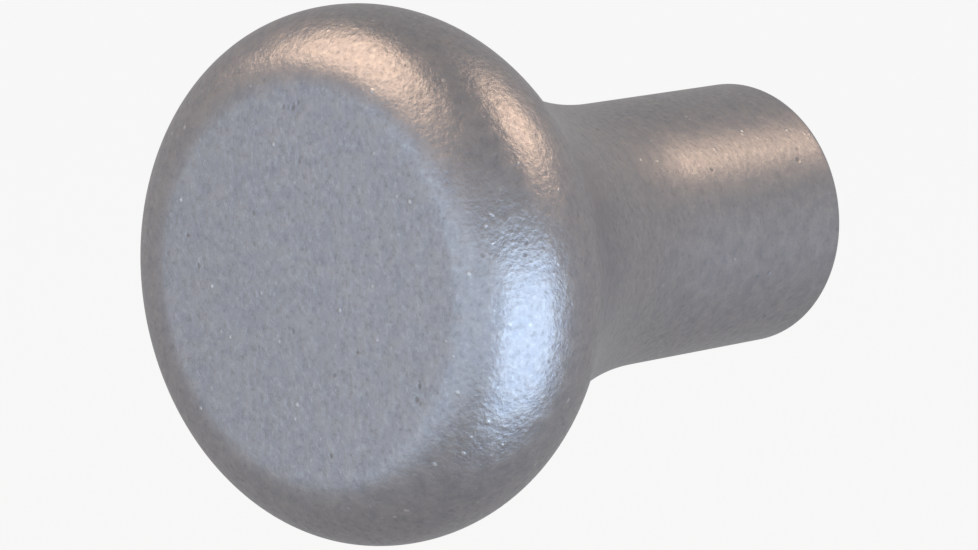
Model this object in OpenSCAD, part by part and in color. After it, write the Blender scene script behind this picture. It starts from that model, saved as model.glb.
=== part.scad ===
// Mushroom-head cabinet knob with its machine screw and washer.
// The knob is shown as it is fitted to an upright drawer front: the middle of the seat, where the
// stem meets the front, is the origin, the knob's face looks along -Y and +Z is up.
// The screw is driven home into the stem, as the knob is stored before it is fitted.

/* [Knob] */
// Largest diameter of the head
head_d = 32; // [28:0.5:40]
// Distance from the seat to the flat face
knob_len = 40.5; // [38:0.5:50]
// Diameter of the stem
stem_d = 16.2; // [14:0.1:20]
// Radius of the convex shoulder behind the head
shoulder_r = 7.5; // [6.5:0.1:8.5]
// Radius of the rim between the shoulder and the flat face
rim_r = 4.7; // [3:0.1:5]
// Angle past the widest line at which the shoulder hands over to the rim
handover_deg = 12; // [0:1:25]
// Radius of the long hollow sweep from the stem up to the shoulder
neck_r = 27; // [20:1:30]
// Radius of the stem's edge at the seat
seat_edge_r = 0.4; // [0.2:0.1:0.8]

/* [Fixing] */
// Diameter of the recess in the seat that takes the screw's head
recess_d = 10.6; // [10:0.1:11]
// Depth of that recess
recess_h = 4.1; // [4.0:0.1:4.6]
// Nominal diameter of the screw's thread
thread_d = 4; // [3:0.5:4]
// Length of the screw under its head
screw_len = 25; // [16:1:27]
// Room left in the tapped hole beyond the screw's tip
tip_room = 1.2; // [0.5:0.1:2]
// Diameter of the screw's pan head
pan_d = 8; // [7.5:0.1:8.2]
// Height of the screw's pan head
pan_h = 3.1; // [2.9:0.1:3.1]
// Outer diameter of the washer
washer_d = 9; // [8.5:0.1:9.5]
// Hole through the washer
washer_hole_d = 4.3; // [4.2:0.1:4.6]
// Thickness of the washer
washer_t = 0.8; // [0.5:0.1:0.8]

/* [Cross slot] */
// Width of each slot at the top of the screw's head
slot_w = 1.1; // [0.9:0.1:1.3]
// Length of each slot
slot_len = 4.4; // [3.8:0.1:4.8]
// Depth of the slots
slot_h = 1.9; // [1.5:0.1:2.1]

/* [Hidden] */
$fn = 128;

head_r = head_d / 2;
stem_r = stem_d / 2;

// Radial gap between the screw and its hole
thread_gap = 0.05;
hole_r = thread_d / 2;
screw_r = hole_r - thread_gap;
hole_len = screw_len - washer_t + tip_room;
// Cone that a 118 degree drill leaves at the end of the hole
drill_point = hole_r * tan(31);
mouth_chamfer = 0.35;
tip_chamfer = 0.5;
// How far a cutting shape stands past the surface that it cuts
over = 1;

// Centre of the rim's arc
rim_z = knob_len - rim_r;
rim_x = head_r - shoulder_r + (shoulder_r - rim_r) * cos(handover_deg);
// Centre of the shoulder's arc, on the plane of the widest line
shoulder_x = head_r - shoulder_r;
shoulder_z = rim_z - (shoulder_r - rim_r) * sin(handover_deg);
// Centre of the neck's hollow arc, which touches the stem and the shoulder
neck_x = stem_r + neck_r;
neck_z = shoulder_z - sqrt(pow(shoulder_r + neck_r, 2) - pow(neck_x - shoulder_x, 2));
// Steepest slope of the neck, where it hands over to the shoulder
neck_deg = atan2(shoulder_z - neck_z, neck_x - shoulder_x);

// Top of the screw's head, just under the seat
pan_top = recess_h - washer_t - pan_h;
// Radius of the pan head's domed top
dome_r = 6.5;
// Chamfer round the washer's rim
washer_edge = 0.15;

// Turns a solid made along +Z, from the seat towards the face, to its place along -Y
module along_knob() {
    rotate([90, 0, 0]) children();
}

// Half outline of the solid knob: x is the radius, y the distance from the seat
module knob_outline() {
    union() {
        square([stem_r - seat_edge_r, neck_z]);
        translate([0, seat_edge_r]) square([stem_r, neck_z - seat_edge_r]);
        translate([stem_r - seat_edge_r, seat_edge_r]) circle(seat_edge_r);
        difference() {
            polygon([[0, neck_z], [neck_x, neck_z], [shoulder_x, shoulder_z], [0, shoulder_z]]);
            translate([neck_x, neck_z]) circle(neck_r);
        }
        intersection() {
            translate([shoulder_x, shoulder_z]) circle(shoulder_r);
            shoulder_sector();
        }
        intersection() {
            translate([rim_x, rim_z]) circle(rim_r);
            translate([rim_x, shoulder_z]) square([head_r, knob_len]);
        }
        translate([0, shoulder_z]) square([rim_x, knob_len - shoulder_z]);
    }
}

// The part of the outline's plane where the shoulder's arc is the surface
module shoulder_sector() {
    reach = 2 * shoulder_r;
    polygon([
        [shoulder_x, shoulder_z],
        [shoulder_x + reach * cos(neck_deg), shoulder_z - reach * sin(neck_deg)],
        [shoulder_x + reach * cos(handover_deg), shoulder_z + reach * sin(handover_deg)]
    ]);
}

// Recess for the screw's head, then the tapped hole with its drilled end
module fixing_hollow() {
    rotate_extrude()
        polygon([
            [0, -over],
            [recess_d / 2, -over],
            [recess_d / 2, recess_h],
            [hole_r + mouth_chamfer, recess_h],
            [hole_r, recess_h + mouth_chamfer],
            [hole_r, recess_h + hole_len],
            [0, recess_h + hole_len + drill_point]
        ]);
}

module knob_body() {
    color("#9a9aa0")
        along_knob()
            difference() {
                rotate_extrude() knob_outline();
                fixing_hollow();
            }
}

// Flat washer, lying on the floor of the recess
module washer() {
    color("#c8c8cc")
        along_knob()
            rotate_extrude()
                polygon([
                    [washer_hole_d / 2, recess_h - washer_t],
                    [washer_d / 2 - washer_edge, recess_h - washer_t],
                    [washer_d / 2, recess_h - washer_t + washer_edge],
                    [washer_d / 2, recess_h - washer_edge],
                    [washer_d / 2 - washer_edge, recess_h],
                    [washer_hole_d / 2, recess_h]
                ]);
}

// Domed pan head, with its flat underside on the washer
module pan_head() {
    intersection() {
        translate([0, 0, pan_top]) cylinder(r = pan_d / 2, h = pan_h);
        translate([0, 0, pan_top + dome_r]) sphere(dome_r);
    }
}

// Two crossed slots for the screwdriver
module cross_slot() {
    for (turn = [0, 90])
        rotate([0, 0, turn])
            translate([-slot_len / 2, -slot_w / 2, pan_top - over])
                cube([slot_len, slot_w, slot_h + over]);
}

module mounting_screw() {
    shank_z = recess_h - washer_t;
    color("#d2d2d6")
        along_knob() {
            difference() {
                union() {
                    pan_head();
                    translate([0, 0, shank_z]) cylinder(r = screw_r, h = screw_len - tip_chamfer);
                    translate([0, 0, shank_z + screw_len - tip_chamfer])
                        cylinder(r1 = screw_r, r2 = screw_r - tip_chamfer, h = tip_chamfer);
                }
                cross_slot();
            }
        }
}

knob_body();
washer();
mounting_screw();
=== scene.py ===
# Looks of the mushroom-head cabinet knob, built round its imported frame.
# Metres, +Z up. The knob's seat is at the origin and its flat face looks along -Y.
import math

import bmesh
import bpy
from mathutils import Matrix, Vector


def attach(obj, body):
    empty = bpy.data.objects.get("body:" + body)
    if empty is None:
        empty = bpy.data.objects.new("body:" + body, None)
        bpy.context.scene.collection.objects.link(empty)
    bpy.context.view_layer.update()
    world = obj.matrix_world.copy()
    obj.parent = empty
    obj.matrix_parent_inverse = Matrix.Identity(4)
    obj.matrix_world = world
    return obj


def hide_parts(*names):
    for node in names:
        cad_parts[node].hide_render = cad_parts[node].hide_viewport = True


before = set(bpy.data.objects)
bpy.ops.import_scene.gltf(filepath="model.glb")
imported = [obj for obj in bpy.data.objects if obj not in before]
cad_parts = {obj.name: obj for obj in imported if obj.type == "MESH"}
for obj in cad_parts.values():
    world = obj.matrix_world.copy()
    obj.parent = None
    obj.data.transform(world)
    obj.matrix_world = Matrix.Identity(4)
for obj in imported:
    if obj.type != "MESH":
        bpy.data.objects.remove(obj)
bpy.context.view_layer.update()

MM = 0.001

# ---------------------------------------------------------------- the knob's sizes, in millimetres
HEAD_R = 16.0
KNOB_LEN = 40.5
STEM_R = 8.1
SHOULDER_R = 7.5
RIM_R = 4.7
HANDOVER = math.radians(12)
NECK_R = 27.0
SEAT_EDGE_R = 0.4
RECESS_R = 5.3
RECESS_H = 4.1
HOLE_R = 2.0
HOLE_END = RECESS_H + 25.4
DRILL_POINT = HOLE_R * math.tan(math.radians(31))
MOUTH_CHAMFER = 0.35
EDGE_BREAK = 0.15

# the screw and its washer
SCREW_R = 1.95
SCREW_ROOT_R = 1.52
PITCH = 0.7
# Widths of the thread's flat crest and root, as shares of the pitch
CREST, ROOT = 0.10, 0.16
SCREW_LEN = 25.0
# Plain neck under the head, the length over which the thread then rises, and the tip's taper
PLAIN_NECK = 0.5
RUN_OUT = 0.7
TIP_TAPER = 0.55
PAN_R = 4.0
PAN_H = 3.1
PAN_EDGE = 0.18
DOME_R = 6.5
WASHER_R = 4.5
WASHER_HOLE_R = 2.15
WASHER_T = 0.8
WASHER_ROUND_R = 0.16
WASHER_BURR = 0.05
WASHER_EDGE = 0.06
SHANK_START = RECESS_H - WASHER_T
PAN_TOP = SHANK_START - PAN_H
# Half length and half width of the cross recess, at the cutter's top and at the recess's floor
CROSS_MOUTH = (2.75, 0.62)
CROSS_FLOOR = (0.95, 0.42)
CROSS_DEPTH = 2.0
CUT_OVER = 1.0

# ---------------------------------------------------------------- camera
# The point looked at lies a little off the knob's axis, 22 mm out from the seat
LOOK_AT = Vector((-1.87, -21.94, -1.69)) * MM
VIEW_AZIMUTH = math.radians(40.71)
VIEW_ELEVATION = math.radians(8.56)
VIEW_DISTANCE = 0.4
SENSOR_MM = 36.0
LENS_MM = 243.4

FLOOR_Z = -0.11
FLOOR_HALF = 2.5
BACKDROP_R = 1.9

# ---------------------------------------------------------------- light
LAMP_DISTANCE = 0.80
LIT_POINT = Vector((0, -25, 0)) * MM
# Warm white is near 4500 K. Cool white is bluer and a little greener than daylight.
WARM_WHITE = (1.0, 0.72, 0.50)
COOL_WHITE = (0.55, 0.76, 1.0)
SURROUND_BELOW = 0.32
SURROUND_LEVEL = 0.44
SURROUND_ABOVE = 0.34


# ---------------------------------------------------------------- mesh helpers
def arc(centre, radius, start, end, steps):
    """Points (distance from the seat, radius) on an arc; angle 0 points away from the axis."""
    points = []
    for i in range(steps + 1):
        angle = start + (end - start) * i / steps
        points.append((centre[0] + radius * math.sin(angle), centre[1] + radius * math.cos(angle)))
    return points


def line(start, end, steps):
    """Points on a straight line, without its start."""
    return [tuple(a + (b - a) * i / steps for a, b in zip(start, end)) for i in range(1, steps + 1)]


def on_axis(distance, radius, angle):
    """The place in the frame of a point at that distance from the seat, round the knob's axis."""
    return Vector((radius * math.cos(angle), -distance, radius * math.sin(angle))) * MM


def new_piece(name, bm, body, node, materials, smooth_angle=35):
    """Makes an object of the mesh, which rides on a body and stands for a CAD node."""
    bmesh.ops.recalc_face_normals(bm, faces=bm.faces)
    mesh = bpy.data.meshes.new(name)
    bm.to_mesh(mesh)
    bm.free()
    piece = bpy.data.objects.new(name, mesh)
    bpy.context.scene.collection.objects.link(piece)
    for material in materials:
        mesh.materials.append(material)
    mesh.shade_smooth()
    mesh.set_sharp_from_angle(angle=math.radians(smooth_angle))
    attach(piece, body)
    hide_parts(node)
    return piece


def skin(bm, rings, sides, slots=None):
    """Joins each ring of vertices to the next. A ring of one vertex is a point on the axis."""
    for i, (low, high) in enumerate(zip(rings, rings[1:])):
        for k in range(sides):
            nxt = (k + 1) % sides
            corners = [low[k % len(low)], low[nxt % len(low)], high[nxt % len(high)], high[k % len(high)]]
            face = bm.faces.new([v for j, v in enumerate(corners) if v not in corners[:j]])
            face.material_index = slots[i] if slots else 0
    return bm


def lathe(outline, sides, slots=None):
    """Turns an outline of (distance, radius) round the axis. A point with radius 0 becomes one vertex."""
    bm = bmesh.new()
    rings = []
    for distance, radius in outline:
        if radius < 1e-6:
            rings.append([bm.verts.new(on_axis(distance, 0, 0))])
        else:
            step = 2 * math.pi / sides
            rings.append([bm.verts.new(on_axis(distance, radius, k * step)) for k in range(sides)])
    return skin(bm, rings, sides, slots)


# ---------------------------------------------------------------- the knob's outline
def head_centres():
    """Centres of the rim's, the shoulder's and the neck's arcs, as (distance, radius)."""
    rim = (KNOB_LEN - RIM_R, HEAD_R - SHOULDER_R + (SHOULDER_R - RIM_R) * math.cos(HANDOVER))
    shoulder = (rim[0] - (SHOULDER_R - RIM_R) * math.sin(HANDOVER), HEAD_R - SHOULDER_R)
    rise = STEM_R + NECK_R - shoulder[1]
    neck = (shoulder[0] - math.sqrt((SHOULDER_R + NECK_R) ** 2 - rise ** 2), STEM_R + NECK_R)
    return rim, shoulder, neck


def cast_outline():
    """From the seat's edge along the stem, the neck, the shoulder and the rim to the face's middle."""
    rim, shoulder, neck = head_centres()
    turn = math.atan2(shoulder[0] - neck[0], neck[1] - shoulder[1])
    points = arc((SEAT_EDGE_R, STEM_R - SEAT_EDGE_R), SEAT_EDGE_R, -math.pi / 2, 0, 8)
    points += line(points[-1], (neck[0], STEM_R), 40)
    points += [(neck[0] + NECK_R * math.sin(turn * i / 64), neck[1] - NECK_R * math.cos(turn * i / 64))
               for i in range(1, 65)]
    points += arc(shoulder, SHOULDER_R, -turn, HANDOVER, 64)[1:]
    points += arc(rim, RIM_R, HANDOVER, math.pi / 2, 48)[1:]
    points += line(points[-1], (KNOB_LEN, 0.0), 24)
    return points


def bore_outline():
    """From the hole's drilled end out to the seat's edge."""
    points = [(HOLE_END + DRILL_POINT, 0.0), (HOLE_END, HOLE_R)]
    points += line(points[-1], (RECESS_H + MOUTH_CHAMFER, HOLE_R), 24)
    points += [(RECESS_H, HOLE_R + MOUTH_CHAMFER)]
    points += line(points[-1], (RECESS_H, RECESS_R), 8)
    points += line(points[-1], (EDGE_BREAK, RECESS_R), 8)
    points += [(0.0, RECESS_R + EDGE_BREAK)]
    points += line(points[-1], (0.0, STEM_R - SEAT_EDGE_R), 6)
    return points


def make_knob(cast, machined):
    inside, outside = bore_outline(), cast_outline()
    slots = [1] * (len(inside) - 1) + [0] * (len(outside) - 1)
    bm = lathe(inside + outside[1:], 256, slots)
    return new_piece("knob", bm, "knob", "knob_body", [cast, machined])


# ---------------------------------------------------------------- the washer and the screw
def make_washer(material):
    low, high, r = SHANK_START, RECESS_H, WASHER_ROUND_R
    outline = [(high, WASHER_HOLE_R + WASHER_BURR), (high - WASHER_BURR, WASHER_HOLE_R)]
    outline += [(low + r, WASHER_HOLE_R)]
    outline += [(low + r - r * math.sin(a), WASHER_HOLE_R + r - r * math.cos(a))
                for a in (math.pi / 8 * i for i in range(1, 5))]
    outline += line(outline[-1], (low, WASHER_R - r), 10)
    outline += arc((low + r, WASHER_R - r), r, -math.pi / 2, 0, 6)[1:]
    outline += line(outline[-1], (high - WASHER_EDGE, WASHER_R), 3)
    outline += [(high, WASHER_R - WASHER_EDGE)]
    outline += line(outline[-1], outline[0], 8)[:-1]
    bm = lathe(outline + [outline[0]], 128)
    bmesh.ops.remove_doubles(bm, verts=bm.verts, dist=1e-7)
    return new_piece("plain_washer", bm, "washer_stack", "washer", [material])


def thread_radius(turns):
    """Radius of a 60 degree thread, from how many pitches the helix is from its crest."""
    gap = abs((turns + 0.5) % 1.0 - 0.5)
    flank = min(max((gap - CREST / 2) / (0.5 - CREST / 2 - ROOT / 2), 0.0), 1.0)
    return SCREW_R + (SCREW_ROOT_R - SCREW_R) * flank


def screw_radius(along, angle):
    """Radius of the shank at a distance under the head, with the thread's run-out and the tip."""
    radius = thread_radius(along / PITCH + angle / (2 * math.pi))
    run_out = min(max((along - PLAIN_NECK) / RUN_OUT, 0.0), 1.0)
    radius = SCREW_ROOT_R + (radius - SCREW_ROOT_R) * run_out
    to_tip = SCREW_LEN - along
    return min(radius, SCREW_R - TIP_TAPER + max(to_tip, 0.0))


def screw_mesh():
    """Pan head and threaded shank in one closed skin, before the cross recess is cut."""
    sides, rings_a_turn = 72, 14
    bm = bmesh.new()
    step = 2 * math.pi / sides
    dome_drop = DOME_R - math.sqrt(DOME_R ** 2 - PAN_R ** 2)
    edge = PAN_EDGE
    head = []
    for i in range(1, 17):
        radius = (PAN_R - edge) * i / 16
        head.append((PAN_TOP + DOME_R - math.sqrt(DOME_R ** 2 - radius ** 2), radius))
    head += [(PAN_TOP + dome_drop + edge * 0.25, PAN_R - edge * 0.3), (PAN_TOP + dome_drop + edge, PAN_R)]
    head += line(head[-1], (SHANK_START - edge, PAN_R), 4)
    head += [(SHANK_START - edge * 0.3, PAN_R - edge * 0.3), (SHANK_START, PAN_R - edge)]
    head += line(head[-1], (SHANK_START, SCREW_ROOT_R + 0.1), 4)
    rings = [[bm.verts.new(on_axis(PAN_TOP, 0, 0))]]
    rings += [[bm.verts.new(on_axis(z, r, k * step)) for k in range(sides)] for z, r in head]
    count = int(SCREW_LEN / PITCH * rings_a_turn)
    for i in range(1, count + 1):
        along = SCREW_LEN * i / count
        rings.append([bm.verts.new(on_axis(SHANK_START + along, screw_radius(along, k * step), k * step))
                      for k in range(sides)])
    rings.append([bm.verts.new(on_axis(SHANK_START + SCREW_LEN, 0, 0))])
    return skin(bm, rings, sides)


def cross_cutter():
    """Two crossed tapered bars, making four wings over a flat floor, to be cut out of the screw's head.
    """
    cutter = bpy.data.objects.new("cutter", bpy.data.meshes.new("cutter"))
    bpy.context.scene.collection.objects.link(cutter)
    bm = bmesh.new()
    top, floor = PAN_TOP - CUT_OVER, PAN_TOP + CROSS_DEPTH
    for turn in (0, math.pi / 2):
        corners = []
        for z, half_len, half_w in ((top, *CROSS_MOUTH), (floor, *CROSS_FLOOR)):
            for sx, sy in ((-1, -1), (1, -1), (1, 1), (-1, 1)):
                flat = Matrix.Rotation(turn, 2) @ Vector((sx * half_len, sy * half_w))
                corners.append(bm.verts.new(Vector((flat.x, -z, flat.y)) * MM))
        bm.faces.new(corners[:4])
        bm.faces.new(corners[4:])
        for k in range(4):
            bm.faces.new([corners[k], corners[(k + 1) % 4], corners[4 + (k + 1) % 4], corners[4 + k]])
    bmesh.ops.recalc_face_normals(bm, faces=bm.faces)
    bm.to_mesh(cutter.data)
    bm.free()
    return cutter


def make_screw(material):
    screw = new_piece("machine_screw", screw_mesh(), "screw", "mounting_screw", [material], 30)
    cutter = cross_cutter()
    cut = screw.modifiers.new("cross", "BOOLEAN")
    cut.operation = "DIFFERENCE"
    cut.solver = "EXACT"
    cut.use_self = True
    cut.object = cutter
    bpy.context.view_layer.update()
    graph = bpy.context.evaluated_depsgraph_get()
    result = bpy.data.meshes.new_from_object(screw.evaluated_get(graph))
    screw.modifiers.clear()
    screw.data = result
    result.shade_smooth()
    result.set_sharp_from_angle(angle=math.radians(30))
    bpy.data.objects.remove(cutter)
    return screw


# ---------------------------------------------------------------- materials
# The coarse grain fades out this close to the flat face, and grows between these distances from the seat
FACE_FADE = 0.7
COARSE_FROM = 24
COARSE_FULL = 31


class Nodes:
    """Short calls for building a material's nodes."""

    def __init__(self, name):
        self.material = bpy.data.materials.new(name)
        self.material.use_nodes = True
        self.tree = self.material.node_tree
        self.shader = self.tree.nodes["Principled BSDF"]

    def add(self, kind, inputs=None, **settings):
        node = self.tree.nodes.new(kind)
        for key, value in settings.items():
            setattr(node, key, value)
        for key, value in (inputs or {}).items():
            self.put(node.inputs[key], value)
        return node

    def put(self, socket, value):
        if isinstance(value, bpy.types.NodeSocket):
            self.tree.links.new(value, socket)
        else:
            socket.default_value = value

    def where(self):
        return self.add("ShaderNodeTexCoord").outputs["Object"]

    def noise(self, scale, detail=2.0, rough=0.5, vector=None):
        node = self.add("ShaderNodeTexNoise", {"Vector": vector or self.where(), "Scale": scale,
                                               "Detail": detail, "Roughness": rough})
        return node.outputs["Fac"]

    def cells(self, scale):
        node = self.add("ShaderNodeTexVoronoi", {"Vector": self.where(), "Scale": scale}, feature="F1")
        return node.outputs["Distance"]

    def math(self, operation, a, b=0.0):
        node = self.add("ShaderNodeMath", operation=operation)
        self.put(node.inputs[0], a)
        self.put(node.inputs[1], b)
        return node.outputs[0]

    def span(self, value, low, high, to_low=0.0, to_high=1.0):
        node = self.add("ShaderNodeMapRange", {"Value": value, "From Min": low, "From Max": high,
                                               "To Min": to_low, "To Max": to_high})
        return node.outputs["Result"]

    def blend(self, share, a, b):
        node = self.add("ShaderNodeMix", data_type="RGBA")
        self.put(node.inputs["Factor"], share)
        self.put(node.inputs[6], a)
        self.put(node.inputs[7], b)
        return node.outputs[2]

    def bump(self, height, distance, strength=1.0, normal=None):
        node = self.add("ShaderNodeBump", {"Height": height, "Distance": distance, "Strength": strength})
        if normal is not None:
            self.put(node.inputs["Normal"], normal)
        return node.outputs["Normal"]


def cast_metal():
    """Blasted cast metal: silver grey, a fine hammered grain, dark pits and bright specks."""
    n = Nodes("cast_metal")
    n.put(n.shader.inputs["Metallic"], 1.0)
    grain = n.noise(2900, 3.0, 0.62)
    mottle = n.noise(1150, 2.0, 0.55)
    cloud = n.noise(130, 2.0, 0.5)
    pick = n.noise(640, 1.0)
    specks = n.math("MULTIPLY", n.span(n.cells(1500), 0.26, 0.12), n.span(pick, 0.63, 0.69))
    pits = n.math("MULTIPLY", n.span(n.cells(1250), 0.28, 0.10), n.span(pick, 0.36, 0.30))
    base = n.blend(n.span(mottle, 0.30, 0.70), (0.465, 0.450, 0.485, 1), (0.555, 0.520, 0.530, 1))
    base = n.blend(n.span(cloud, 0.35, 0.65, 0.0, 0.35), base, (0.490, 0.475, 0.485, 1))
    base = n.blend(n.span(grain, 0.28, 0.46, 0.55, 0.0), base, (0.33, 0.32, 0.325, 1))
    base = n.blend(n.span(grain, 0.54, 0.72, 0.0, 0.5), base, (0.66, 0.65, 0.65, 1))
    base = n.blend(n.math("MULTIPLY", pits, 0.45), base, (0.17, 0.165, 0.17, 1))
    base = n.blend(n.math("MULTIPLY", specks, 0.6), base, (0.92, 0.91, 0.90, 1))
    n.put(n.shader.inputs["Base Color"], base)
    rough = n.span(grain, 0.3, 0.7, 0.41, 0.29)
    rough = n.math("ADD", rough, n.span(mottle, 0.3, 0.7, -0.03, 0.03))
    n.put(n.shader.inputs["Roughness"], n.math("ADD", rough, n.math("MULTIPLY", pits, 0.15)))
    # The rounded head is coarser than the flat face and the stem
    depth = n.add("ShaderNodeSeparateXYZ", {"Vector": n.where()}).outputs["Y"]
    off_face = n.span(depth, -KNOB_LEN * MM, (FACE_FADE - KNOB_LEN) * MM)
    off_stem = n.span(depth, -COARSE_FROM * MM, -COARSE_FULL * MM)
    coarse = n.math("MULTIPLY", off_face, off_stem)
    hammered = n.bump(mottle, 0.0001, n.span(coarse, 0.0, 1.0, 0.13, 0.45))
    fine = n.bump(grain, 0.00006, n.span(coarse, 0.0, 1.0, 0.26, 0.65), hammered)
    dents = n.bump(n.math("SUBTRACT", specks, pits), 0.00003, 0.6, fine)
    n.put(n.shader.inputs["Normal"], dents)
    return n.material


def machined_metal():
    """The same metal where it was turned: finer, brighter, with rings round the axis."""
    n = Nodes("machined_metal")
    n.put(n.shader.inputs["Metallic"], 1.0)
    place = n.add("ShaderNodeSeparateXYZ", {"Vector": n.where()}).outputs
    radius = n.math("SQRT", n.math("ADD", n.math("MULTIPLY", place["X"], place["X"]),
                                   n.math("MULTIPLY", place["Z"], place["Z"])))
    ring_place = n.add("ShaderNodeCombineXYZ", {"X": radius, "Y": place["Y"], "Z": 0.0}).outputs[0]
    rings = n.noise(9000, 2.0, 0.6, ring_place)
    tone = n.noise(400, 2.0)
    base = n.blend(rings, (0.56, 0.55, 0.54, 1), (0.68, 0.67, 0.66, 1))
    base = n.blend(n.span(tone, 0.4, 0.7, 0.0, 0.3), base, (0.46, 0.44, 0.43, 1))
    n.put(n.shader.inputs["Base Color"], base)
    n.put(n.shader.inputs["Roughness"], n.span(rings, 0.2, 0.8, 0.22, 0.34))
    n.put(n.shader.inputs["Normal"], n.bump(rings, 0.00001, 0.7))
    return n.material


def zinc_plate():
    """Bright zinc with a faint blue-yellow passivation and a fine grain of darker flecks."""
    n = Nodes("zinc_plate")
    n.put(n.shader.inputs["Metallic"], 1.0)
    tint = n.noise(700, 2.0, 0.5)
    base = n.blend(n.span(tint, 0.35, 0.65), (0.66, 0.69, 0.74, 1), (0.75, 0.74, 0.70, 1))
    grain = n.noise(6000, 3.0, 0.6)
    base = n.blend(n.span(grain, 0.25, 0.4, 0.3, 0.0), base, (0.42, 0.42, 0.43, 1))
    n.put(n.shader.inputs["Base Color"], base)
    n.put(n.shader.inputs["Roughness"], n.span(grain, 0.3, 0.7, 0.32, 0.22))
    n.put(n.shader.inputs["Normal"], n.bump(grain, 0.000012, 0.5))
    return n.material


def pale_floor():
    n = Nodes("pale_floor")
    n.put(n.shader.inputs["Base Color"], (0.06, 0.06, 0.06, 1))
    n.put(n.shader.inputs["Roughness"], 0.9)
    n.put(n.shader.inputs["Emission Color"], (1.0, 1.0, 1.0, 1))
    n.put(n.shader.inputs["Emission Strength"], 0.88)
    return n.material


def pale_backdrop():
    n = Nodes("pale_backdrop")
    n.put(n.shader.inputs["Base Color"], (0.0, 0.0, 0.0, 1))
    n.put(n.shader.inputs["Specular IOR Level"], 0.0)
    n.put(n.shader.inputs["Emission Color"], (1.0, 1.0, 1.0, 1))
    n.put(n.shader.inputs["Emission Strength"], 0.92)
    return n.material


# ---------------------------------------------------------------- the room and its light
def direction(azimuth, elevation):
    """Unit vector towards an azimuth, 0 in front of the knob's face and 90 to its right."""
    a, e = math.radians(azimuth), math.radians(elevation)
    return Vector((math.sin(a) * math.cos(e), -math.cos(a) * math.cos(e), math.sin(e)))


def softbox(name, azimuth, elevation, wide_deg, high_deg, white, radiance):
    """A rectangular area light facing the knob's middle. Its power follows from its radiance."""
    size = [2 * LAMP_DISTANCE * math.tan(math.radians(span) / 2) for span in (wide_deg, high_deg)]
    data = bpy.data.lights.new(name, "AREA")
    data.shape = "RECTANGLE"
    data.size, data.size_y = size
    data.color = white
    data.energy = radiance * math.pi * size[0] * size[1]
    lamp = bpy.data.objects.new(name, data)
    towards = direction(azimuth, elevation)
    lamp.location = LIT_POINT + towards * LAMP_DISTANCE
    lamp.rotation_mode = "QUATERNION"
    lamp.rotation_quaternion = towards.to_track_quat("Z", "Y")
    lamp.visible_camera = False
    bpy.context.scene.collection.objects.link(lamp)


def light_room():
    """Warm-white boxes above, in front and behind. Cool-white boxes lower, at the right and in front."""
    softbox("key", -40, 50, 45, 45, WARM_WHITE, 1.7)
    softbox("back", 145, 45, 30, 25, WARM_WHITE, 1.9)
    softbox("side", 80, -20, 75, 60, COOL_WHITE, 1.7)
    softbox("fill", 5, -10, 90, 40, COOL_WHITE, 0.65)


def plain_world():
    """A plain grey surround, lightest at the level of the knob."""
    world = bpy.data.worlds.new("surround")
    bpy.context.scene.world = world
    world.use_nodes = True
    tree = world.node_tree
    place = tree.nodes.new("ShaderNodeSeparateXYZ")
    tree.links.new(tree.nodes.new("ShaderNodeTexCoord").outputs["Generated"], place.inputs[0])
    height = tree.nodes.new("ShaderNodeMapRange")
    height.inputs["From Min"].default_value = -1.0
    tree.links.new(place.outputs["Z"], height.inputs["Value"])
    ramp = tree.nodes.new("ShaderNodeValToRGB")
    tree.links.new(height.outputs["Result"], ramp.inputs["Fac"])
    stops = ramp.color_ramp.elements
    stops[0].color = (*[SURROUND_BELOW] * 3, 1)
    stops[1].color = (*[SURROUND_ABOVE] * 3, 1)
    stops.new(0.5).color = (*[SURROUND_LEVEL] * 3, 1)
    tree.links.new(ramp.outputs["Color"], tree.nodes["Background"].inputs["Color"])


def stage_piece(name, bm, material):
    """A floor or backdrop that only the camera sees: it has no shadow and no reflection."""
    mesh = bpy.data.meshes.new(name)
    bm.to_mesh(mesh)
    bm.free()
    mesh.materials.append(material)
    thing = bpy.data.objects.new(name, mesh)
    bpy.context.scene.collection.objects.link(thing)
    thing.visible_glossy = False
    thing.visible_diffuse = False
    thing.visible_shadow = False


def make_stage():
    floor = bmesh.new()
    corners = [floor.verts.new((x * FLOOR_HALF, y * FLOOR_HALF, FLOOR_Z))
               for x, y in ((-1, -1), (1, -1), (1, 1), (-1, 1))]
    floor.faces.new(corners)
    stage_piece("floor", floor, pale_floor())
    dome = bmesh.new()
    bmesh.ops.create_uvsphere(dome, u_segments=64, v_segments=32, radius=BACKDROP_R)
    bmesh.ops.reverse_faces(dome, faces=dome.faces)
    stage_piece("backdrop", dome, pale_backdrop())


def make_camera():
    data = bpy.data.cameras.new("camera")
    data.sensor_width = SENSOR_MM
    data.lens = LENS_MM
    data.clip_start, data.clip_end = 0.01, 50.0
    camera = bpy.data.objects.new("camera", data)
    back = direction(math.degrees(VIEW_AZIMUTH), math.degrees(VIEW_ELEVATION))
    camera.location = LOOK_AT + back * VIEW_DISTANCE
    camera.rotation_mode = "QUATERNION"
    camera.rotation_quaternion = (-back).to_track_quat("-Z", "Y")
    bpy.context.scene.collection.objects.link(camera)
    bpy.context.scene.camera = camera


bpy.context.scene.view_settings.view_transform = "Standard"
make_camera()
plain_world()
light_room()
make_stage()
make_knob(cast_metal(), machined_metal())
zinc = zinc_plate()
make_washer(zinc)
make_screw(zinc)

bpy.context.view_layer.update()
